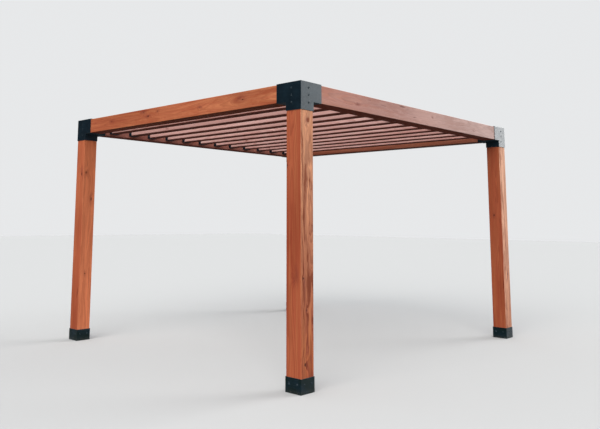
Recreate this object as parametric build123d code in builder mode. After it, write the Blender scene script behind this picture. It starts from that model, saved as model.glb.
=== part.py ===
from build123d import *
import os

# An open garden pergola. Four square timber posts stand in black steel base
# shoes and carry four square timber beams in three-way black steel corner
# brackets. Twelve lighter square slats span between the left and right beams,
# each end seated in a small steel hanger.
#
# Frame: +Z up, the ground at z = 0, the origin at the centre of the footprint.
# The front is -Y, the right side is +X. All sizes are in millimetres.

# Overall size, over the steel
overall_width = 3352.0
overall_depth = 3756.0
overall_height = 2430.0

# Posts and beams, one square section
timber_size = 152.4
timber_edge_radius = 4.0
beam_end_gap = 2.0

# Corner brackets: three square sleeves that meet in a cube
bracket_steel = 3.2
bracket_play = 1.6
bracket_arm_reach = 102.0
bracket_leg_reach = 72.0
bracket_edge_radius = 2.5

# Base shoes
shoe_height = 118.0
shoe_plate = 4.8
shoe_corner_radius = 2.5
anchor_spacing = 90.0
anchor_hole_radius = 7.0
anchor_recess_radius = 17.0
anchor_recess_depth = 50.0

# Slats and their hangers
slat_count = 12
slat_thickness = 101.6
slat_height = 101.6
slat_edge_radius = 3.0
slat_end_gap = 1.0
hanger_steel = 2.5
hanger_play = 0.8
hanger_seat = 42.0

# The sleeves fit the timber, so their size follows from it
sleeve_inside = timber_size + 2 * bracket_play
sleeve_size = sleeve_inside + 2 * bracket_steel

# Centre lines of the posts, which the beams share
post_x = overall_width / 2 - sleeve_size / 2
post_y = overall_depth / 2 - sleeve_size / 2

# Heights: the beams rest on the floors of their sleeves
sleeve_bottom = overall_height - sleeve_size
beam_bottom = sleeve_bottom + bracket_steel
beam_middle = beam_bottom + timber_size / 2

# The posts run from the shoe's plate to the bracket's top plate
post_bottom = shoe_plate
post_top = overall_height - bracket_steel

# The beams butt against the posts inside the brackets
beam_run_x = 2 * post_x - timber_size - 2 * beam_end_gap
beam_run_y = 2 * post_y - timber_size - 2 * beam_end_gap

# Clear space between the inner faces of the beams
clear_x = 2 * post_x - timber_size
clear_y = 2 * post_y - timber_size

# The slats are centred on the height of the beams, with equal gaps
slat_gap = (clear_y - slat_count * slat_thickness) / (slat_count + 1)
slat_pitch = slat_gap + slat_thickness
slat_middle = beam_middle
slat_bottom = slat_middle - slat_height / 2
slat_run = clear_x - 2 * (hanger_steel + slat_end_gap)
slat_places = [(index - (slat_count - 1) / 2) * slat_pitch for index in range(slat_count)]

hanger_width = slat_thickness + 2 * (hanger_play + hanger_steel)

corners = {
    "front_left": (-1, -1),
    "front_right": (1, -1),
    "back_left": (-1, 1),
    "back_right": (1, 1),
}

os.makedirs("parts", exist_ok=True)


def save(piece, name):
    piece.part.label = name
    export_step(piece.part, f"parts/{name}.step")


# A post: square timber with eased long edges, and four blind recesses in its
# foot that clear the anchor nuts on the shoe's plate
def make_post(side_x, side_y):
    with BuildPart() as post:
        with BuildSketch(Plane.XY.offset(post_bottom)):
            with Locations((side_x * post_x, side_y * post_y)):
                Rectangle(timber_size, timber_size)
        extrude(amount=post_top - post_bottom)
        fillet(post.edges().filter_by(Axis.Z), radius=timber_edge_radius)
        with BuildSketch(Plane.XY.offset(post_bottom)):
            with Locations((side_x * post_x, side_y * post_y)):
                with GridLocations(anchor_spacing, anchor_spacing, 2, 2):
                    Circle(anchor_recess_radius)
        extrude(amount=anchor_recess_depth, mode=Mode.SUBTRACT)
    return post


# A base shoe: a square sleeve on a plate with four anchor holes
def make_shoe(side_x, side_y):
    with BuildPart() as shoe:
        with BuildSketch():
            with Locations((side_x * post_x, side_y * post_y)):
                RectangleRounded(sleeve_size, sleeve_size, shoe_corner_radius)
        extrude(amount=shoe_height)
        with BuildSketch(Plane.XY.offset(shoe_plate)):
            with Locations((side_x * post_x, side_y * post_y)):
                Rectangle(sleeve_inside, sleeve_inside)
        extrude(amount=shoe_height - shoe_plate, mode=Mode.SUBTRACT)
        with BuildSketch():
            with Locations((side_x * post_x, side_y * post_y)):
                with GridLocations(anchor_spacing, anchor_spacing, 2, 2):
                    Circle(anchor_hole_radius)
        extrude(amount=shoe_plate, mode=Mode.SUBTRACT)
    return shoe


# The plan of the cube and its two arms, or of the hollow inside them. The
# arms reach inwards, towards the middle of the pergola.
def bracket_plan(side_x, side_y, width, reach):
    arm = sleeve_size / 2 + reach
    with Locations((side_x * post_x, side_y * post_y)):
        Rectangle(width, width)
    with Locations((side_x * (post_x - arm / 2), side_y * post_y)):
        Rectangle(arm, width)
    with Locations((side_x * post_x, side_y * (post_y - arm / 2))):
        Rectangle(width, arm)


# A corner bracket: the beams' sleeves to two sides, the post's sleeve below
# and a closed top. Its outer edges are rounded and its three mouths are square.
def make_bracket(side_x, side_y):
    with BuildPart() as leg:
        with BuildSketch(Plane.XY.offset(sleeve_bottom - bracket_leg_reach)):
            with Locations((side_x * post_x, side_y * post_y)):
                Rectangle(sleeve_size, sleeve_size)
        extrude(amount=bracket_leg_reach + sleeve_size / 2)
        fillet(leg.edges().filter_by(Axis.Z), radius=bracket_edge_radius)
    with BuildPart() as bracket:
        with BuildSketch(Plane.XY.offset(sleeve_bottom)):
            bracket_plan(side_x, side_y, sleeve_size, bracket_arm_reach)
        extrude(amount=sleeve_size)
        mouth_x = bracket.faces().filter_by(Axis.X).sort_by(lambda face: abs(face.center().X))[0]
        mouth_y = bracket.faces().filter_by(Axis.Y).sort_by(lambda face: abs(face.center().Y))[0]
        square_edges = mouth_x.edges() + mouth_y.edges()
        outer_edges = bracket.edges().filter_by(lambda edge: not edge.is_interior)
        fillet([edge for edge in outer_edges if edge not in square_edges], radius=bracket_edge_radius)
        add(leg.part)
        with BuildSketch(Plane.XY.offset(sleeve_bottom + bracket_steel)):
            bracket_plan(side_x, side_y, sleeve_inside, bracket_arm_reach)
        extrude(amount=sleeve_inside, mode=Mode.SUBTRACT)
        with BuildSketch(Plane.XY.offset(sleeve_bottom - bracket_leg_reach)):
            with Locations((side_x * post_x, side_y * post_y)):
                Rectangle(sleeve_inside, sleeve_inside)
        extrude(amount=bracket_leg_reach + bracket_steel, mode=Mode.SUBTRACT)
    return bracket


# A beam along X, at the front or the back
def make_cross_beam(side_y):
    with BuildPart() as beam:
        with BuildSketch(Plane.YZ.offset(-beam_run_x / 2)):
            with Locations((side_y * post_y, beam_middle)):
                Rectangle(timber_size, timber_size)
        extrude(amount=beam_run_x)
        fillet(beam.edges().filter_by(Axis.X), radius=timber_edge_radius)
    return beam


# A beam along Y, at the left or the right
def make_side_beam(side_x):
    with BuildPart() as beam:
        with BuildSketch(Plane.XZ.offset(-beam_run_y / 2)):
            with Locations((side_x * post_x, beam_middle)):
                Rectangle(timber_size, timber_size)
        extrude(amount=beam_run_y)
        fillet(beam.edges().filter_by(Axis.Y), radius=timber_edge_radius)
    return beam


# A slat: a square timber with eased long edges, from the left hangers to the right
def make_slat(place_y):
    with BuildPart() as slat:
        with BuildSketch(Plane.YZ.offset(-slat_run / 2)):
            with Locations((place_y, slat_middle)):
                RectangleRounded(slat_thickness, slat_height, slat_edge_radius)
        extrude(amount=slat_run)
    return slat


# The hangers of one side: a cup for each slat's end, with its back flat on
# the beam's inner face
def make_hangers(side_x):
    cup_bottom = slat_bottom - hanger_steel
    cup_height = slat_height + hanger_steel
    cup_depth = hanger_steel + hanger_seat
    back_x = side_x * clear_x / 2
    with BuildPart() as hangers:
        for place_y in slat_places:
            with BuildSketch(Plane.YZ.offset(back_x)):
                with Locations((place_y, cup_bottom + cup_height / 2)):
                    Rectangle(hanger_width, cup_height)
            extrude(amount=-side_x * cup_depth)
            with BuildSketch(Plane.YZ.offset(back_x - side_x * hanger_steel)):
                with Locations((place_y, slat_bottom + slat_height / 2)):
                    Rectangle(slat_thickness + 2 * hanger_play, slat_height)
            extrude(amount=-side_x * hanger_seat, mode=Mode.SUBTRACT)
    return hangers


for corner, (side_x, side_y) in corners.items():
    save(make_post(side_x, side_y), f"{corner}_post")
    save(make_shoe(side_x, side_y), f"{corner}_base_shoe")
    save(make_bracket(side_x, side_y), f"{corner}_corner_bracket")

save(make_cross_beam(-1), "front_beam")
save(make_cross_beam(1), "back_beam")
save(make_side_beam(-1), "left_beam")
save(make_side_beam(1), "right_beam")

for number, place_y in enumerate(slat_places, start=1):
    save(make_slat(place_y), f"slat_{number}")

save(make_hangers(-1), "left_slat_hangers")
save(make_hangers(1), "right_slat_hangers")
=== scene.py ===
import bpy
import bmesh
import math
from mathutils import Matrix, Vector


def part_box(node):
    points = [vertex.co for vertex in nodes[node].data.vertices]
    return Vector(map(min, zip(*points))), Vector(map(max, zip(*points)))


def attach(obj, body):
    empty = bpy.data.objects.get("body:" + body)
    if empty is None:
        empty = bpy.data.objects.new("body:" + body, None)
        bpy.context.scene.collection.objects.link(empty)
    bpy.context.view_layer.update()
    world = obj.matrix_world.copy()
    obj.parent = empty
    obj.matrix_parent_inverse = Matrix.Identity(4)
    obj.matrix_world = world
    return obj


print("Loading the packed frame")
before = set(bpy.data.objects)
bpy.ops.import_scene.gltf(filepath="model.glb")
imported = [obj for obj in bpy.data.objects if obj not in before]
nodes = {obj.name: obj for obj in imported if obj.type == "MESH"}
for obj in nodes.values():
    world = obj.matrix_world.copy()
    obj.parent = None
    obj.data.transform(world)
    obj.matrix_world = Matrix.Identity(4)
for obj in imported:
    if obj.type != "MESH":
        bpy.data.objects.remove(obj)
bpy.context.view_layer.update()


# Helpers for shader nodes

def addNode(tree, kind, inputs=None, **settings):
    made = tree.nodes.new(kind)
    for name, value in settings.items():
        setattr(made, name, value)
    for name, value in (inputs or {}).items():
        if isinstance(value, bpy.types.NodeSocket):
            tree.links.new(value, made.inputs[name])
        else:
            made.inputs[name].default_value = value
    return made


def maths(tree, operation, *values):
    return addNode(tree, "ShaderNodeMath", dict(enumerate(values)), operation=operation).outputs[0]


def times(tree, first, second):
    return maths(tree, "MULTIPLY", first, second)


def centred(tree, value, reach):  # moves a noise to lie about 0, and scales it to a reach
    return times(tree, maths(tree, "SUBTRACT", value, 0.5), reach)


def vectors(tree, operation, *values):
    made = addNode(tree, "ShaderNodeVectorMath", dict(enumerate(values)), operation=operation)
    return made.outputs["Value" if operation in ("DOT_PRODUCT", "LENGTH") else "Vector"]


def heightOf(tree, point):
    return addNode(tree, "ShaderNodeSeparateXYZ", {0: point}).outputs["Z"]


def faceNormal(tree):
    return tree.nodes.new("ShaderNodeNewGeometry").outputs["Normal"]


def noise(tree, point, scale, detail=2.0, roughness=0.5):
    made = addNode(tree, "ShaderNodeTexNoise", {"Vector": point, "Scale": scale, "Detail": detail,
                                                "Roughness": roughness})
    return made.outputs["Fac"]


def stretch(tree, point, across, along):  # squeezes a point before a noise, so that it runs along the grain
    return vectors(tree, "MULTIPLY", point, (across, across, along))


def smooth(tree, value, low, high, start=0.0, end=1.0):
    limits = {"From Min": low, "From Max": high, "To Min": start, "To Max": end}
    made = addNode(tree, "ShaderNodeMapRange", {"Value": value, **limits}, interpolation_type="SMOOTHSTEP")
    return made.outputs["Result"]


def mixColours(tree, factor, first, second):
    return addNode(tree, "ShaderNodeMix", {0: factor, 6: first, 7: second}, data_type="RGBA").outputs[2]


def fromHex(code):  # a colour as it is seen, in Blender's linear values
    parts = [int(code[i:i + 2], 16) / 255 for i in (1, 3, 5)]
    return tuple(p / 12.92 if p <= 0.04045 else ((p + 0.055) / 1.055) ** 2.4 for p in parts) + (1.0,)


def layer(tree, below, mask, share, code):  # one more colour over the last, where the mask shows it
    return mixColours(tree, times(tree, mask, share), below, fromHex(code))


def tinted(tree, colour, mask, tint):  # the same colour, lighter or darker where the mask says so
    return mixColours(tree, mask, colour, vectors(tree, "MULTIPLY", colour, tint))


socketKinds = {"Point": "NodeSocketVector", "Place": "NodeSocketVector", "Pith": "NodeSocketVector",
               "Grey": "NodeSocketColor", "Colour": "NodeSocketColor"}  # the other sockets are plain numbers


def newGroup(name, inputs, outputs):
    tree = bpy.data.node_groups.new(name, "ShaderNodeTree")
    for way, labels in (("INPUT", inputs), ("OUTPUT", outputs)):
        for label in labels:
            kind = socketKinds.get(label, "NodeSocketFloat")
            tree.interface.new_socket(label, in_out=way, socket_type=kind)
    return tree, tree.nodes.new("NodeGroupInput"), tree.nodes.new("NodeGroupOutput")


def newMaterial(name):
    made = bpy.data.materials.new(name)
    made.use_nodes = True
    tree = made.node_tree
    tree.nodes.clear()
    shader = tree.nodes.new("ShaderNodeBsdfPrincipled")
    output = tree.nodes.new("ShaderNodeOutputMaterial")
    tree.links.new(shader.outputs[0], output.inputs["Surface"])
    return made, tree, shader


# Noises that run along the grain: repeats in a metre across it and along it, detail and roughness. Further
# down, a value whose name ends in Noise holds a scale, a detail and, where it isn't 0.5, a roughness.

grainNoises = {
    "ripple": (20, 2.4, 3.0, 0.5),
    "curl": (26, 6.5, 2.0, 0.5),
    "fibre": (520, 14, 2.0, 0.5),
    "streak": (75, 1.5, 4.0, 0.6),
    "band": (30, 0.9, 2.5, 0.5),
    "patch": (5, 1.1, 3.0, 0.5),
    "smear": (34, 9, 3.0, 0.5),
    "saw": (3, 260, 1.0, 0.5),
}


def grainNoise(tree, point, kind):
    across, along, detail, roughness = grainNoises[kind]
    return noise(tree, stretch(tree, point, across, along), 1.0, detail, roughness)


# A knot is a branch that runs outwards from the pith. It darkens the wood, bends the rings round it and
# leaves a smear of resin along the grain.

knotShape = {
    "rim": (1.15, 0.35),  # where the dark heart starts and is full, in sizes of the knot from its middle
    "heartLength": 0.7,  # below 1 it is longer along the grain
    "ragged": 1.3,
    "raggedNoise": (60.0, 3.0),
    "smearSize": 2.0,
    "smearLength": 0.36,
    "smearFade": (1.5, 0.2),
    "smearPatches": (0.3, 0.62),
    "swellSize": 2.8,
    "startFromPith": 0.01,
}
knotMarks = ("Knot", "Smear", "Swell")  # each knot of a piece adds to the marks of the last


def makeKnotGroup():
    tree, start, end = newGroup("branchKnot", ("Point", "Place", "Size", "Heart") + knotMarks, knotMarks)
    point, place, size = (start.outputs[n] for n in ("Point", "Place", "Size"))
    outward = vectors(tree, "NORMALIZE", vectors(tree, "MULTIPLY", place, (1, 1, 0)))
    beside = vectors(tree, "SUBTRACT", point, vectors(tree, "MULTIPLY", place, (0, 0, 1)))
    along = vectors(tree, "DOT_PRODUCT", beside, outward)
    scaled = addNode(tree, "ShaderNodeVectorMath", {0: outward, "Scale": along}, operation="SCALE").outputs[0]
    aside = vectors(tree, "SUBTRACT", beside, scaled)
    outside = maths(tree, "GREATER_THAN", along, knotShape["startFromPith"])

    off = vectors(tree, "LENGTH", stretch(tree, aside, 1, knotShape["heartLength"]))
    ragged = centred(tree, noise(tree, point, *knotShape["raggedNoise"]), knotShape["ragged"])
    reach = maths(tree, "ADD", maths(tree, "DIVIDE", off, size), ragged)
    knot = times(tree, smooth(tree, reach, *knotShape["rim"]), times(tree, outside, start.outputs["Heart"]))

    longOff = vectors(tree, "LENGTH", stretch(tree, aside, 1, knotShape["smearLength"]))
    smearReach = maths(tree, "DIVIDE", longOff, times(tree, size, knotShape["smearSize"]))
    patchy = smooth(tree, grainNoise(tree, point, "smear"), *knotShape["smearPatches"])
    smear = times(tree, times(tree, smooth(tree, smearReach, *knotShape["smearFade"]), patchy), outside)

    far = maths(tree, "POWER", maths(tree, "DIVIDE", off, times(tree, size, knotShape["swellSize"])), 2.0)
    swell = times(tree, times(tree, maths(tree, "EXPONENT", times(tree, far, -1.0)), size), outside)
    tree.links.new(maths(tree, "MAXIMUM", start.outputs["Knot"], knot), end.inputs["Knot"])
    tree.links.new(maths(tree, "MAXIMUM", start.outputs["Smear"], smear), end.inputs["Smear"])
    tree.links.new(maths(tree, "ADD", start.outputs["Swell"], swell), end.inputs["Swell"])
    return tree


# Stained softwood, cut from a round log: rings about the pith, fibres along the grain, and a stain that
# soaks in unevenly. Where it is bleached and paled by painted sheen, broad flames show that follow the rings.

timberLook = {
    "pale": "#C07A50",
    "middle": "#B05B3E",
    "deep": "#92412A",
    "late": "#74301F",
    "knot": "#3C1610",
    "smear": "#71302A",
    "pitch": "#4A1A12",
    # the paled colour of the open side, partly weathering and partly painted sheen
    "bleachedWithSheen": "#D09268",
    "flameLight": (1.52, 1.50, 1.46),  # this and the six after it multiply the colour they lie on
    "flameDark": (0.47, 0.25, 0.17),
    "figureLight": (1.18, 1.30, 1.02),
    "figureDark": (0.50, 0.40, 0.34),
    "over": (1.06, 1.22, 1.30),
    # painted shade on the undersides
    "paintedUnderShade": (0.42, 0.34, 0.34),
    # rounded edges rubbed pale, partly a painted highlight
    "edge": (1.35, 1.55, 1.7),
    "underFrom": (-0.4, -0.9),
    "ringWidth": 0.0062,
    "ringContrast": 0.40,
    "streakContrast": 0.30,
    "sawMarks": 0.35,
    "bump": 0.0007,
    "roughness": (0.68, 0.84),
    "gloss": 0.12,
}

# Slats: the pale pinks are partly painted sky light on their sides; the tops are tinted back to the stain
slatLook = {
    "pale": "#EBC9C2",
    "middle": "#DBB4AE",
    "deep": "#C99B93",
    "late": "#96584A",
    "knot": "#6A3830",
    "smear": "#9A6258",
    "pitch": "#6A3A30",
    "bleachedWithSheen": "#D8B4A6",
    "flameLight": (1.15, 1.15, 1.15),
    "flameDark": (0.70, 0.55, 0.52),
    "figureLight": (1.0, 1.0, 1.0),
    "figureDark": (1.0, 1.0, 1.0),
    "over": (0.80, 0.63, 0.54),
    # painted shade on the undersides
    "paintedUnderShade": (0.24, 0.11, 0.08),
    # rounded edges rubbed pale, partly a painted highlight
    "edge": (1.1, 1.15, 1.15),
    "underFrom": (-0.05, -0.4),
    "ringWidth": 0.0050,
    "ringContrast": 0.45,
    "streakContrast": 0.4,
    "sawMarks": 0.25,
    "bump": 0.0005,
    "roughness": (0.70, 0.84),
    "gloss": 0.10,
}

wood = {
    # How the rings wander from circles, in metres
    "swayAcrossAlong": (1.6, 0.75),
    "swayDetail": 1.5,
    "sway": 0.11,
    "ripple": 0.009,
    "curl": 0.026,
    # How far a knot bends the rings, and how unevenly wide they are
    "knotSwell": 1.3,
    "unevenNoise": (55.0, 2.0),
    "unevenRings": 2.4,
    # A ring darkens slowly and ends sharply, in shares of its width
    "lateStart": (0.35, 0.9),
    "lateEnd": (1.0, 0.92),
    # How often the flames repeat in a metre across the rings and along the grain, and how strongly they show
    # in a piece that doesn't say
    "flameAcross": 78.0,
    "flameAlong": 1.6,
    "flameNoise": (1.0, 3.0, 0.6),
    "flame": 0.7,
    # Pockets of pitch
    "pitchAcrossAlong": (62, 4.5),
    "pitchShift": (7.7, 3.1, 1.9),
    "pitchNoise": (1.0, 1.0),
    # The values of a noise between which each mark grows, from none to full or between two given shares
    "deepPatches": (0.3, 0.7),
    "paleStreaks": (0.42, 0.72),
    "paleBands": (0.45, 0.75),
    "ringsByPatch": (0.7, 0.2, 0.45, 1.0),
    "flamesHeld": (0.50, 0.41),
    "flamesGone": (0.51, 0.60),
    "streaksHeld": (0.48, 0.3),
    "hairs": (0.55, 0.8),
    "pitchPockets": (0.74, 0.8),
    # How strongly each mark shows
    "bandShare": 0.3,
    "ringHeld": 0.45,
    "streakHeld": 0.6,
    "hairShare": 0.25,
    "pitchShare": 0.7,
    "smearShare": 0.55,
    "knotShare": 0.85,
    # Rounded edges, which face no way squarely and are rubbed pale with a painted highlight, and tops
    "roundedEdge": (0.98, 0.8),
    "rubbedAndLitStreaks": (0.3, 0.55, 0.3, 0.9),
    "overFrom": (0.4, 0.9),
    # Sheen
    "mattStreaks": (0.3, 0.7),
    "refraction": 1.5,
    # Shares of the bump
    "lateHeight": 0.5,
    "fibreHeight": 0.6,
    "streakHeight": 0.5,
    "knotDepth": 0.8,
}


def makeTimberGroup(name, look):
    tree, start, end = newGroup(name, ("Point", "Pith", "Tone", "BleachAndSheen", "Flame", "Grey", "Figure", "Pooled")
                                + knotMarks, ("Colour", "Roughness", "Height"))
    point = start.outputs["Point"]
    knot, smear, swell = (start.outputs[n] for n in knotMarks)

    # The log isn't straight, so the rings wander along it
    bend = addNode(tree, "ShaderNodeTexNoise", {"Vector": stretch(tree, point, *wood["swayAcrossAlong"]),
                                                "Scale": 1.0, "Detail": wood["swayDetail"]}).outputs["Color"]
    sway = vectors(tree, "MULTIPLY", vectors(tree, "SUBTRACT", bend, (0.5, 0.5, 0.5)),
                   (wood["sway"], wood["sway"], 0.0))
    across = vectors(tree, "SUBTRACT", vectors(tree, "ADD", point, sway), start.outputs["Pith"])
    radius = vectors(tree, "LENGTH", vectors(tree, "MULTIPLY", across, (1, 1, 0)))
    ripple = centred(tree, grainNoise(tree, point, "ripple"), wood["ripple"])
    bent = maths(tree, "SUBTRACT", maths(tree, "ADD", radius, ripple), times(tree, swell, wood["knotSwell"]))
    bentPoint = addNode(tree, "ShaderNodeCombineXYZ", {"X": bent}).outputs[0]
    uneven = times(tree, noise(tree, bentPoint, *wood["unevenNoise"]), wood["unevenRings"])
    ring = maths(tree, "FRACT", maths(tree, "ADD", maths(tree, "DIVIDE", bent, look["ringWidth"]), uneven))
    late = times(tree, smooth(tree, ring, *wood["lateStart"]), smooth(tree, ring, *wood["lateEnd"]))

    fibre, streak, band, patch = (grainNoise(tree, point, n) for n in ("fibre", "streak", "band", "patch"))
    pitchPoint = vectors(tree, "ADD", stretch(tree, point, *wood["pitchAcrossAlong"]), wood["pitchShift"])
    pitch = noise(tree, pitchPoint, *wood["pitchNoise"])

    # The stain, deeper in patches and paler in streaks and bands, and darker in the late wood of each ring
    colour = mixColours(tree, smooth(tree, patch, *wood["deepPatches"]), fromHex(look["middle"]),
                        fromHex(look["deep"]))
    paleStreaks = smooth(tree, streak, *wood["paleStreaks"])
    colour = layer(tree, colour, paleStreaks, look["streakContrast"], look["pale"])
    colour = layer(tree, colour, smooth(tree, band, *wood["paleBands"]), wood["bandShare"], look["pale"])
    ringShare = times(tree, smooth(tree, patch, *wood["ringsByPatch"]), look["ringContrast"])
    colour = layer(tree, colour, late, ringShare, look["late"])

    # Flames, pale where the stain has gone and dark where it holds
    curl = centred(tree, grainNoise(tree, point, "curl"), wood["curl"])
    flowX = times(tree, maths(tree, "ADD", bent, curl), wood["flameAcross"])
    flowY = times(tree, heightOf(tree, point), wood["flameAlong"])
    flow = addNode(tree, "ShaderNodeCombineXYZ", {"X": flowX, "Y": flowY}).outputs[0]
    flame = noise(tree, flow, *wood["flameNoise"])
    heldFlames = smooth(tree, flame, *wood["flamesHeld"])
    heldStreaks = times(tree, smooth(tree, streak, *wood["streaksHeld"]), wood["streakHeld"])
    held = maths(tree, "MAXIMUM", heldFlames, times(tree, late, wood["ringHeld"]))
    held = times(tree, maths(tree, "MAXIMUM", held, heldStreaks), start.outputs["Flame"])
    gone = times(tree, smooth(tree, flame, *wood["flamesGone"]), start.outputs["Flame"])

    # They show fully in wood that is bleached and paled by painted sheen. Elsewhere they are weaker, and
    # only a piece with a figure has them.
    colour = tinted(tree, colour, times(tree, held, start.outputs["Figure"]), look["figureDark"])
    colour = tinted(tree, colour, times(tree, gone, start.outputs["Figure"]), look["figureLight"])
    grey = start.outputs["Grey"]
    bleachedWithSheen = tinted(tree, grey, gone, look["flameLight"])
    bleachedWithSheen = mixColours(tree, held, bleachedWithSheen, vectors(tree, "MULTIPLY", grey, look["flameDark"]))
    colour = mixColours(tree, start.outputs["BleachAndSheen"], colour, bleachedWithSheen)

    # Dark fibres, pockets of pitch, and the knots with their smears
    colour = layer(tree, colour, smooth(tree, fibre, *wood["hairs"]), wood["hairShare"], look["late"])
    pockets = smooth(tree, pitch, *wood["pitchPockets"])
    colour = layer(tree, colour, pockets, wood["pitchShare"], look["pitch"])
    colour = layer(tree, colour, smear, wood["smearShare"], look["smear"])
    colour = layer(tree, colour, knot, wood["knotShare"], look["knot"])

    # The rounded edges are rubbed pale with a painted highlight, the tops are weathered, and painted shade
    # darkens the undersides and the lower edges
    facing = addNode(tree, "ShaderNodeSeparateXYZ", {0: faceNormal(tree)}).outputs
    turnedX, turnedY, turnedZ = (maths(tree, "ABSOLUTE", facing[axis]) for axis in "XYZ")
    square = maths(tree, "MAXIMUM", maths(tree, "MAXIMUM", turnedX, turnedY), turnedZ)
    rubbedAndLitStreaks = smooth(tree, streak, *wood["rubbedAndLitStreaks"])
    rubbedAndLitEdge = times(tree, smooth(tree, square, *wood["roundedEdge"]), rubbedAndLitStreaks)
    colour = tinted(tree, colour, rubbedAndLitEdge, look["edge"])
    colour = tinted(tree, colour, smooth(tree, facing["Z"], *wood["overFrom"]), look["over"])
    paintedUnderShade = maths(tree, "MAXIMUM", smooth(tree, facing["Z"], *look["underFrom"]), start.outputs["Pooled"])
    colour = tinted(tree, colour, paintedUnderShade, look["paintedUnderShade"])
    toned = addNode(tree, "ShaderNodeHueSaturation", {"Value": start.outputs["Tone"], "Color": colour})
    tree.links.new(toned.outputs[0], end.inputs["Colour"])

    matt = smooth(tree, streak, *wood["mattStreaks"], *look["roughness"])
    tree.links.new(maths(tree, "MAXIMUM", matt, paintedUnderShade), end.inputs["Roughness"])

    height = times(tree, late, wood["lateHeight"])
    height = maths(tree, "ADD", height, times(tree, fibre, wood["fibreHeight"]))
    height = maths(tree, "ADD", height, times(tree, streak, wood["streakHeight"]))
    height = maths(tree, "ADD", height, times(tree, grainNoise(tree, point, "saw"), look["sawMarks"]))
    height = maths(tree, "SUBTRACT", height, times(tree, knot, wood["knotDepth"]))
    tree.links.new(height, end.inputs["Height"])
    return tree


knotGroup = makeKnotGroup()
timberGroup = makeTimberGroup("roughSawnTimber", timberLook)
slatGroup = makeTimberGroup("roughSawnSlat", slatLook)

grainTurns = {"X": (0, math.radians(-90), 0), "Y": (math.radians(90), 0, 0), "Z": (0, 0, 0)}
openSide = {"direction": (1, 0, 0), "from": (0.3, 0.95)}  # the faces on that side are bleached and get painted sheen
# Painted shade along the lower edges of the slats
lowerShadeLook = {"fullShare": 0.6, "strength": 0.85, "wander": 0.008, "wanderNoise": (14.0, 3.0)}


def timberMaterial(name, node, group, look, piece):
    made, tree, shader = newMaterial(name)
    low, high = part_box(node)
    turns = grainTurns[piece["grain"]]
    turn = Matrix.Rotation(turns[0], 4, "X") @ Matrix.Rotation(turns[1], 4, "Y")
    middle = turn @ ((low + high) / 2)
    place = tree.nodes.new("ShaderNodeTexCoord").outputs["Object"]
    toGrain = {"Vector": place, "Rotation": turns, "Location": -middle}
    local = addNode(tree, "ShaderNodeMapping", toGrain).outputs[0]

    marks = {}
    for u, v, w, size, heart in piece["knots"]:
        inputs = {"Point": local, "Place": (u, v, w), "Size": size, "Heart": heart, **marks}
        step = addNode(tree, "ShaderNodeGroup", inputs, node_tree=knotGroup)
        marks = {label: step.outputs[label] for label in knotMarks}

    reach = max(high - low) / 2
    along = heightOf(tree, local)
    # The open side is bleached and painted with sheen, and the wash paints sheen and light on all faces
    toOpen = vectors(tree, "DOT_PRODUCT", faceNormal(tree), openSide["direction"])
    toOpen = smooth(tree, toOpen, *openSide["from"])
    bleachAndSheen = times(tree, toOpen, smooth(tree, along, -reach, reach, *piece.get("bleachAndSheen", (0.0, 0.0))))
    paintedLightWash = smooth(tree, along, -reach, reach, *piece.get("paintedLightWash", (0.0, 0.0)))
    inputs = {
        "Point": vectors(tree, "ADD", local, (0.0, 0.0, piece["offset"])),
        "Pith": piece["pith"] + (0.0,),
        "Tone": piece["tone"],
        "Flame": piece.get("flame", wood["flame"]),
        "Grey": fromHex(piece.get("bleachedWithSheen", look["bleachedWithSheen"])),
        "BleachAndSheen": maths(tree, "MAXIMUM", bleachAndSheen, paintedLightWash),
        "Figure": times(tree, toOpen, piece.get("figure", 0.0)),
        **marks,
    }
    if "paintedLowerShade" in piece:  # painted shade along the lower edges
        wander = centred(tree, noise(tree, local, *lowerShadeLook["wanderNoise"]), lowerShadeLook["wander"])
        edgeHeight = maths(tree, "ADD", heightOf(tree, place), wander)
        begins = low.z + piece["paintedLowerShade"]
        full = low.z + lowerShadeLook["fullShare"] * piece["paintedLowerShade"]
        inputs["Pooled"] = smooth(tree, edgeHeight, begins, full, 0.0, lowerShadeLook["strength"])
    stained = addNode(tree, "ShaderNodeGroup", inputs, node_tree=group)

    bump = addNode(tree, "ShaderNodeBump", {"Height": stained.outputs["Height"], "Strength": 1.0,
                                            "Distance": look["bump"]})
    tree.links.new(stained.outputs["Colour"], shader.inputs["Base Color"])
    tree.links.new(stained.outputs["Roughness"], shader.inputs["Roughness"])
    tree.links.new(bump.outputs[0], shader.inputs["Normal"])
    shader.inputs["IOR"].default_value = wood["refraction"]
    shader.inputs["Specular IOR Level"].default_value = look["gloss"]
    return made


def finishNode(node, material):
    mesh = nodes[node].data
    mesh.materials.clear()
    mesh.materials.append(material)


# Posts and beams. The pith is the log's own middle, and the offset says how far along the log a piece was
# cut. A knot has its place across and along the grain, its size and how dark its heart is. Bleach is the
# paling of the +X face, from weathering and painted sheen, and wash is painted sheen and light on all
# faces, each at the two ends of a piece.

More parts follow.
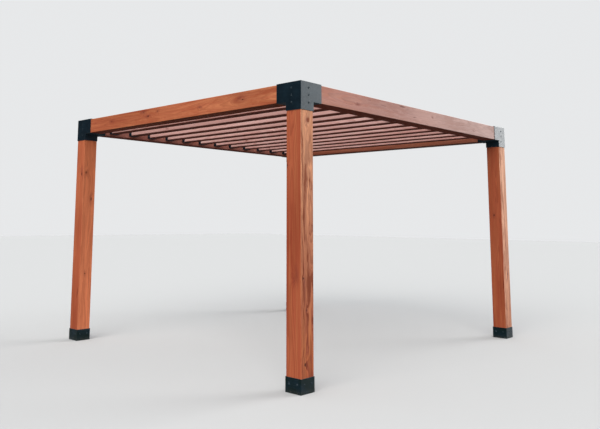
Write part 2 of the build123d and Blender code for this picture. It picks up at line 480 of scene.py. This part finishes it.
print("Staining the timber")
timberPieces = {
    "front_right_post": {
        "grain": "Z", "pith": (-0.03, 0.05), "tone": 0.96, "offset": 0.0,
        "bleachAndSheen": (0.0, 0.98), "bleachedWithSheen": "#C08A6A", "flame": 1.0, "figure": 0.9,
        "knots": [(0.076, -0.047, -0.35, 0.008, 1.0), (0.076, -0.006, -0.595, 0.009, 0.8),
                  (0.076, -0.026, -1.0, 0.013, 0.9), (0.076, -0.009, 0.90, 0.010, 0.15),
                  (0.02, -0.076, -0.337, 0.015, 0.15), (-0.068, -0.076, 0.534, 0.007, 0.7)],
    },
    "front_left_post": {
        "grain": "Z", "pith": (-0.02, 0.10), "tone": 1.0, "offset": 4.2,
        "bleachAndSheen": (0.9, 0.9), "paintedLightWash": (0.0, 0.4), "bleachedWithSheen": "#D07A54", "flame": 0.3,
        "knots": [(0.035, -0.076, 0.60, 0.016, 0.75), (0.076, -0.045, 0.615, 0.014, 0.75),
                  (0.076, 0.03, 0.32, 0.013, 0.9), (0.076, -0.01, -0.5, 0.008, 1.0)],
    },
    "back_right_post": {
        "grain": "Z", "pith": (0.02, -0.05), "tone": 0.92, "offset": 8.5,
        "bleachAndSheen": (0.5, 1.0), "bleachedWithSheen": "#E2AE90", "figure": 0.8,
        "knots": [(-0.013, -0.076, 0.181, 0.009, 1.0), (0.076, 0.02, -0.5, 0.012, 0.8)],
    },
    "back_left_post": {
        "grain": "Z", "pith": (0.06, 0.03), "tone": 1.0, "offset": 11.9,
        "bleachAndSheen": (0.1, 0.1),
        "knots": [(0.01, -0.076, 0.1, 0.014, 1.0), (0.076, -0.03, 0.7, 0.010, 0.8)],
    },
    "front_beam": {
        "grain": "X", "pith": (0.02, 0.06), "tone": 1.04, "offset": 15.2,
        "paintedLightWash": (0.1, 0.25),
        "knots": [(-0.022, -0.076, 0.962, 0.020, 0.12), (-0.005, -0.076, 1.009, 0.008, 1.0),
                  (0.002, -0.076, -0.35, 0.011, 0.9), (-0.045, -0.076, -0.43, 0.012, 0.35),
                  (0.0, -0.076, 0.44, 0.007, 0.5), (-0.01, -0.076, -1.0, 0.010, 0.5),
                  (-0.033, -0.076, -0.20, 0.007, 0.6)],
    },
    "back_beam": {
        "grain": "X", "pith": (-0.03, 0.04), "tone": 0.73, "offset": 19.4,
        "paintedLightWash": (0.35, 0.5), "bleachedWithSheen": "#B07A66", "flame": 0.4,
        "knots": [(0.01, -0.076, -0.7, 0.012, 0.8), (0.0, 0.076, 0.5, 0.012, 1.0),
                  (-0.02, -0.076, 0.8, 0.010, 0.8)],
    },
    "left_beam": {
        "grain": "Y", "pith": (0.03, 0.05), "tone": 1.05, "offset": 23.7,
        "bleachAndSheen": (0.6, 0.6), "bleachedWithSheen": "#B4837A", "flame": 0.3,
        "knots": [(-0.076, 0.01, 0.4, 0.012, 1.0), (-0.076, -0.02, -0.9, 0.012, 0.8),
                  (0.076, 0.0, 0.9, 0.010, 0.8)],
    },
    "right_beam": {
        "grain": "Y", "pith": (-0.05, -0.03), "tone": 1.0, "offset": 27.1,
        "bleachAndSheen": (0.45, 0.95), "bleachedWithSheen": "#B99E98", "flame": 0.25,
        "knots": [(0.076, 0.01, -1.1, 0.008, 0.3), (0.076, -0.02, 0.2, 0.008, 0.35),
                  (0.076, 0.02, 1.1, 0.008, 0.3)],
    },
}
for name, piece in timberPieces.items():
    finishNode(name, timberMaterial(name + "_stain", name, timberGroup, timberLook, piece))


# Slats, each with its own stretch of log, tone, pith and two knots. Sines of its number scatter them, so the
# values here say how far each one swings.
slatSpread = {
    "logLength": 2.9,
    "tone": 0.06,
    "pithMiddle": 0.05,
    "pithAcross": (0.03, 0.04),
    "knotFace": -0.0508,
    "knotAcross": (0.03, 0.025),
    "knotAlong": (1.3, 1.2),
    "knotSize": (0.008, 0.006),
    "knotHeart": (0.8, 0.6),
    # how high the painted shade along the lower edges reaches
    "lowerShadeHeight": 0.008,
}
slatNames = sorted((n for n in nodes if n.startswith("slat_")), key=lambda n: int(n.split("_")[1]))
for index, name in enumerate(slatNames):
    pithSwings = (math.sin(2.4 * index), math.cos(1.7 * index))
    acrossSwings = (math.cos(2.1 * index), math.sin(1.3 * index))
    alongSwings = (math.sin(1.9 * index + 0.4), math.cos(2.3 * index))
    slatPiece = {
        "grain": "X",
        "offset": slatSpread["logLength"] * index,
        "paintedLowerShade": slatSpread["lowerShadeHeight"],
        "tone": 1.0 + slatSpread["tone"] * math.sin(3.3 * index + 1.0),
        "pith": (slatSpread["pithMiddle"] + slatSpread["pithAcross"][0] * pithSwings[0],
                 slatSpread["pithAcross"][1] * pithSwings[1]),
        "knots": [(slatSpread["knotAcross"][k] * acrossSwings[k], slatSpread["knotFace"],
                   slatSpread["knotAlong"][k] * alongSwings[k], slatSpread["knotSize"][k],
                   slatSpread["knotHeart"][k]) for k in (0, 1)],
    }
    finishNode(name, timberMaterial(name + "_stain", name, slatGroup, slatLook, slatPiece))


# Black powder coat on steel: a fine orange peel, worn to grey along the edges, which also paints a
# highlight there, with dust on the tops. The shoes are also splashed with mud and scratched.

steelLook = {
    "bracketCoat": "#08151E",
    "shoeCoat": "#0A1818",
    "dusty": "#10202A",
    "wornGreyAndHighlight": "#74838B",
    "mud": "#8A8478",
    "cloudNoise": (9.0, 4.0, 0.6),
    "dustyClouds": (0.4, 0.75),
    "fineNoise": (60.0, 4.0, 0.65),
    "dustOnTop": (0.3, 0.7, 0.08, 0.24),
    "topFrom": (0.5, 0.95),
    "edgeRadius": 0.0025,
    "edgeSamples": 4,
    "edgeFrom": (0.985, 0.86),
    "edgePatches": (0.35, 0.6),
    "edgeWearAndHighlight": 0.75,
    "mattPatches": (0.3, 0.7),
    "roughness": (0.38, 0.48),
    "undersideMatt": (-0.4, -0.9, 0.0, 0.95),
    "bracketGloss": 0.20,
    "shoeGloss": 0.10,
    "screwGloss": 0.03,
    "glossTint": (0.68, 0.90, 1.0, 1.0),
    "peelNoise": (900.0, 1.0),
    "peelDepth": 0.00004,
}

shoeWear = {
    "strength": 0.35,
    "mudHeight": 0.05,
    "splashNoise": (170.0, 4.0, 0.7),
    "splashes": (0.45, 0.75),
    "scratchAcrossAlong": (7.0, 330.0),
    "scratchNoise": (1.0, 3.0, 0.6),
    "scratches": (0.6, 0.72),
    "scratchClouds": (0.4, 0.6, 0.1, 0.55),
}


def steelMaterial(name, coat, scuffs, gloss):
    made, tree, shader = newMaterial(name)
    point = tree.nodes.new("ShaderNodeTexCoord").outputs["Object"]
    cloud = noise(tree, point, *steelLook["cloudNoise"])
    fine = noise(tree, point, *steelLook["fineNoise"])
    colour = mixColours(tree, smooth(tree, cloud, *steelLook["dustyClouds"]), fromHex(coat),
                        fromHex(steelLook["dusty"]))

    flat = faceNormal(tree)
    upward = heightOf(tree, flat)
    dust = smooth(tree, fine, *steelLook["dustOnTop"])
    dust = times(tree, smooth(tree, upward, *steelLook["topFrom"]), dust)
    colour = mixColours(tree, dust, colour, fromHex(steelLook["mud"]))
    # Grey wear along the rounded edges, which also serves as a painted highlight
    rounded = addNode(tree, "ShaderNodeBevel", {"Radius": steelLook["edgeRadius"]},
                      samples=steelLook["edgeSamples"]).outputs[0]
    edge = smooth(tree, vectors(tree, "DOT_PRODUCT", rounded, flat), *steelLook["edgeFrom"])
    edgePatches = times(tree, edge, smooth(tree, fine, *steelLook["edgePatches"]))
    colour = layer(tree, colour, edgePatches, steelLook["edgeWearAndHighlight"], steelLook["wornGreyAndHighlight"])

    if scuffs:
        nearGround = smooth(tree, heightOf(tree, point), shoeWear["mudHeight"], 0.0)
        splash = smooth(tree, noise(tree, point, *shoeWear["splashNoise"]), *shoeWear["splashes"])
        colour = layer(tree, colour, times(tree, splash, nearGround), scuffs, steelLook["mud"])
        scratchPoint = stretch(tree, point, *shoeWear["scratchAcrossAlong"])
        scratch = noise(tree, scratchPoint, *shoeWear["scratchNoise"])
        scratch = times(tree, smooth(tree, scratch, *shoeWear["scratches"]),
                        smooth(tree, cloud, *shoeWear["scratchClouds"]))
        colour = layer(tree, colour, scratch, scuffs, steelLook["wornGreyAndHighlight"])
    tree.links.new(colour, shader.inputs["Base Color"])

    matt = smooth(tree, fine, *steelLook["mattPatches"], *steelLook["roughness"])
    matt = maths(tree, "MAXIMUM", matt, smooth(tree, upward, *steelLook["undersideMatt"]))
    tree.links.new(matt, shader.inputs["Roughness"])
    peel = noise(tree, point, *steelLook["peelNoise"])
    bump = addNode(tree, "ShaderNodeBump", {"Height": peel, "Strength": 1.0,
                                            "Distance": steelLook["peelDepth"]})
    tree.links.new(bump.outputs[0], shader.inputs["Normal"])
    shader.inputs["Specular IOR Level"].default_value = gloss
    shader.inputs["Specular Tint"].default_value = steelLook["glossTint"]
    return made


print("Coating the steel")
bracketCoat = steelMaterial("bracket_coat", steelLook["bracketCoat"], 0.0, steelLook["bracketGloss"])
shoeCoat = steelMaterial("shoe_coat", steelLook["shoeCoat"], shoeWear["strength"], steelLook["shoeGloss"])
for name in nodes:
    if name.endswith(("corner_bracket", "slat_hangers")):
        finishNode(name, bracketCoat)
    if name.endswith("base_shoe"):
        finishNode(name, shoeCoat)


# Structural screws with low round heads and a six-sided drive, in the brackets, shoes and hangers

screwLook = {
    "headHeight": 0.0024,
    "collarHeight": 0.0008,
    "shoulder": 0.14,  # this and the drive are shares of the head's radius
    "drive": 0.42,
    "crownShare": 0.7,
    "driveDepth": 0.0016,
    "bracketHead": {"radius": 0.0085, "sides": 18},
    "hangerHead": {"radius": 0.0045, "sides": 12},
}


def topFace(mesh):
    return max(mesh.faces, key=lambda face: face.calc_center_median().z)


def makeScrewHead(radius, sides):
    mesh = bmesh.new()
    collar = screwLook["collarHeight"]
    crown = screwLook["headHeight"] - collar
    bmesh.ops.create_cone(mesh, cap_ends=True, segments=sides, radius1=radius, radius2=radius, depth=collar,
                          matrix=Matrix.Translation((0, 0, collar / 2)))
    top = topFace(mesh)
    bmesh.ops.inset_individual(mesh, faces=[top], thickness=radius * screwLook["shoulder"])
    raised = bmesh.ops.extrude_discrete_faces(mesh, faces=[top])["faces"][0]
    bmesh.ops.translate(mesh, vec=(0, 0, crown), verts=raised.verts[:])
    bmesh.ops.bevel(mesh, geom=list(raised.edges), offset=crown * screwLook["crownShare"],
                    offset_type="OFFSET", affect="EDGES", segments=2, profile=0.5, material=-1)
    top = topFace(mesh)
    inner = top.edges[0].calc_length() / (2 * math.sin(math.pi / sides))
    bmesh.ops.inset_individual(mesh, faces=[top], thickness=inner - radius * screwLook["drive"])
    sunk = bmesh.ops.extrude_discrete_faces(mesh, faces=[top])["faces"][0]
    bmesh.ops.translate(mesh, vec=(0, 0, -screwLook["driveDepth"]), verts=sunk.verts[:])
    data = bpy.data.meshes.new("screw_head")
    mesh.to_mesh(data)
    mesh.free()
    return data


def screwSet(name, head, places, material):
    mesh = bmesh.new()
    for place, outward in places:
        start = len(mesh.verts)
        mesh.from_mesh(head)
        mesh.verts.ensure_lookup_table()
        turn = Vector(outward).to_track_quat("Z", "Y").to_matrix().to_4x4()
        bmesh.ops.transform(mesh, matrix=Matrix.Translation(place) @ turn, verts=mesh.verts[start:])
    data = bpy.data.meshes.new(name)
    mesh.to_mesh(data)
    mesh.free()
    made = bpy.data.objects.new(name, data)
    bpy.context.scene.collection.objects.link(made)
    data.materials.append(material)
    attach(made, "root")


print("Driving the screws")
bracketHead = makeScrewHead(**screwLook["bracketHead"])
hangerHead = makeScrewHead(**screwLook["hangerHead"])
screwCoat = steelMaterial("screw_coat", steelLook["bracketCoat"], 0.0, steelLook["screwGloss"])

# Three in each outer face of a bracket, and two in each side of a shoe
bracketScrews = {"inFromCorner": 0.100, "downFromTop": (0.048, 0.108, 0.172)}
shoeScrews = {"height": 0.072, "fromMiddle": 0.042}
corners = {"front_left": (-1, -1), "front_right": (1, -1), "back_left": (-1, 1), "back_right": (1, 1)}
for corner, (sideX, sideY) in corners.items():
    low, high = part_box(corner + "_corner_bracket")
    outerX = high.x if sideX > 0 else low.x
    outerY = high.y if sideY > 0 else low.y
    inX = outerX - sideX * bracketScrews["inFromCorner"]
    inY = outerY - sideY * bracketScrews["inFromCorner"]
    places = []
    for down in bracketScrews["downFromTop"]:
        places.append(((outerX, inY, high.z - down), (sideX, 0, 0)))
        places.append(((inX, outerY, high.z - down), (0, sideY, 0)))
    screwSet(corner + "_bracket_screws", bracketHead, places, screwCoat)

    low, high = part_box(corner + "_base_shoe")
    middle = (low + high) / 2
    places = []
    for aside in (-shoeScrews["fromMiddle"], shoeScrews["fromMiddle"]):
        for face, outward in ((high.x, 1), (low.x, -1)):
            places.append(((face, middle.y + aside, shoeScrews["height"]), (outward, 0, 0)))
        for face, outward in ((high.y, 1), (low.y, -1)):
            places.append(((middle.x + aside, face, shoeScrews["height"]), (0, outward, 0)))
    screwSet(corner + "_shoe_screws", bracketHead, places, screwCoat)

# Two in each cheek of a hanger
hangerScrews = {"inFromBeam": 0.024, "fromMiddle": 0.026, "cheekOut": 0.0033}
for side, sign in (("left", -1), ("right", 1)):
    low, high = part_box(side + "_slat_hangers")
    beamFace = low.x if sign < 0 else high.x
    screwX = beamFace - sign * hangerScrews["inFromBeam"]
    places = []
    for slat in slatNames:
        slatLow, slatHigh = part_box(slat)
        middleZ = (slatLow.z + slatHigh.z) / 2
        for rise in (-hangerScrews["fromMiddle"], hangerScrews["fromMiddle"]):
            for face, outward in ((slatLow.y, -1), (slatHigh.y, 1)):
                places.append(((screwX, face + outward * hangerScrews["cheekOut"], middleZ + rise),
                               (0, outward, 0)))
    screwSet(side + "_hanger_screws", hangerHead, places, screwCoat)


# Studio: a pale floor that fades into a pale backdrop, with soft light from above, from the open side and
# from the front. The gloss also meets one dark panel, which keeps the front of the coated steel dark.

print("Setting up the studio")
studio = {
    "floorSize": 90.0,
    "floorSeen": (0.53, 0.53, 0.53, 1.0),
    "floorBounce": (0.10, 0.10, 0.10, 1.0),
    "floorRoughness": 0.9,
    "backdrop": (0.80, 0.81, 0.82, 1.0),
    "skyTint": (0.90, 0.96, 1.0, 1.0),
    "skyRise": (0.12, 0.6),
    "skyStrength": (0.10, 0.95),
    "panelBearing": -138.0,
    "panelHeight": 12.0,
    "panelEdge": (0.60, 0.86),
    "panelDark": 0.04,
}


def studioRays(tree):  # 1 where the eye, a gloss or a glass meets it, and 0 for the light that bounces
    path = tree.nodes.new("ShaderNodeLightPath").outputs
    mirrored = maths(tree, "MAXIMUM", path["Is Glossy Ray"], path["Is Transmission Ray"])
    return maths(tree, "MAXIMUM", path["Is Camera Ray"], mirrored)


def towards(bearing, height, distance=1.0):  # degrees from +X towards +Y, and degrees above the ground
    turn = Matrix.Rotation(math.radians(bearing), 3, "Z") @ Matrix.Rotation(math.radians(-height), 3, "Y")
    return turn @ Vector((distance, 0, 0))


floorMesh = bmesh.new()
bmesh.ops.create_grid(floorMesh, x_segments=1, y_segments=1, size=studio["floorSize"] / 2)
floorData = bpy.data.meshes.new("studio_floor")
floorMesh.to_mesh(floorData)
floorMesh.free()
floor = bpy.data.objects.new("studio_floor", floorData)
bpy.context.scene.collection.objects.link(floor)
floorPaint, floorTree, floorShader = newMaterial("studio_paint")
floorColour = mixColours(floorTree, studioRays(floorTree), studio["floorBounce"], studio["floorSeen"])
floorTree.links.new(floorColour, floorShader.inputs["Base Color"])
floorShader.inputs["Roughness"].default_value = studio["floorRoughness"]
floorShader.inputs["Specular IOR Level"].default_value = 0.0
floorData.materials.append(floorPaint)

world = bpy.data.worlds.new("studio_world")
bpy.context.scene.world = world
world.use_nodes = True
worldTree = world.node_tree
worldTree.nodes.clear()
direction = worldTree.nodes.new("ShaderNodeTexCoord").outputs["Generated"]
sky = smooth(worldTree, heightOf(worldTree, direction), *studio["skyRise"], *studio["skyStrength"])
dome = addNode(worldTree, "ShaderNodeBackground", {"Color": studio["skyTint"], "Strength": sky})
toPanel = vectors(worldTree, "DOT_PRODUCT", direction,
                  tuple(towards(studio["panelBearing"], studio["panelHeight"])))
panel = smooth(worldTree, toPanel, *studio["panelEdge"], 1.0, studio["panelDark"])
cameraRay = worldTree.nodes.new("ShaderNodeLightPath").outputs["Is Camera Ray"]
backdrop = addNode(worldTree, "ShaderNodeBackground",
                   {"Color": studio["backdrop"], "Strength": maths(worldTree, "MAXIMUM", panel, cameraRay)})
pick = addNode(worldTree, "ShaderNodeMixShader",
               {0: studioRays(worldTree), 1: dome.outputs[0], 2: backdrop.outputs[0]})
worldOut = worldTree.nodes.new("ShaderNodeOutputWorld")
worldTree.links.new(pick.outputs[0], worldOut.inputs["Surface"])

softLights = {  # bearing, height and the width that each one seems to have are in degrees
    "open_side": {"bearing": 68, "height": 14, "strength": 3.0, "width": 36, "colour": (1.0, 0.98, 0.97)},
    "front_fill": {"bearing": -66, "height": 30, "strength": 2.9, "width": 60, "colour": (1.0, 0.95, 0.90)},
}
lightDistance = 10
for name, soft in softLights.items():
    light = bpy.data.lights.new(name, "SUN")
    light.energy = soft["strength"]
    light.angle = math.radians(soft["width"])
    light.color = soft["colour"]
    lamp = bpy.data.objects.new(name, light)
    lamp.location = towards(soft["bearing"], soft["height"], lightDistance)
    lamp.rotation_euler = (-lamp.location).to_track_quat("-Z", "Y").to_euler()
    bpy.context.scene.collection.objects.link(lamp)


# The photograph's view: from below the beams, looking slightly up at the near corner

print("Placing the camera")
photoView = {
    "place": (5.0997, -5.8970, 1.3056),
    "turnLeft": 44.290,
    "tiltUp": 7.567,
    "roll": 0.446,
    "focalPixels": 669.43,
    "centreX": 256.04,
    "centreY": 132.0,
    "width": 600,
    "height": 429,
    "sensorWidth": 36.0,
}
cameraData = bpy.data.cameras.new("photo_camera")
cameraData.sensor_width = photoView["sensorWidth"]
cameraData.lens = photoView["focalPixels"] / photoView["width"] * photoView["sensorWidth"]
cameraData.shift_x = (photoView["width"] / 2 - photoView["centreX"]) / photoView["width"]
cameraData.shift_y = (photoView["centreY"] - photoView["height"] / 2) / photoView["width"]
camera = bpy.data.objects.new("photo_camera", cameraData)
aim = (Matrix.Rotation(math.radians(photoView["turnLeft"]), 4, "Z")
       @ Matrix.Rotation(math.radians(90 + photoView["tiltUp"]), 4, "X")
       @ Matrix.Rotation(math.radians(photoView["roll"]), 4, "Z"))
camera.matrix_world = Matrix.Translation(photoView["place"]) @ aim
bpy.context.scene.collection.objects.link(camera)
bpy.context.scene.camera = camera
bpy.context.scene.view_settings.view_transform = "Standard"
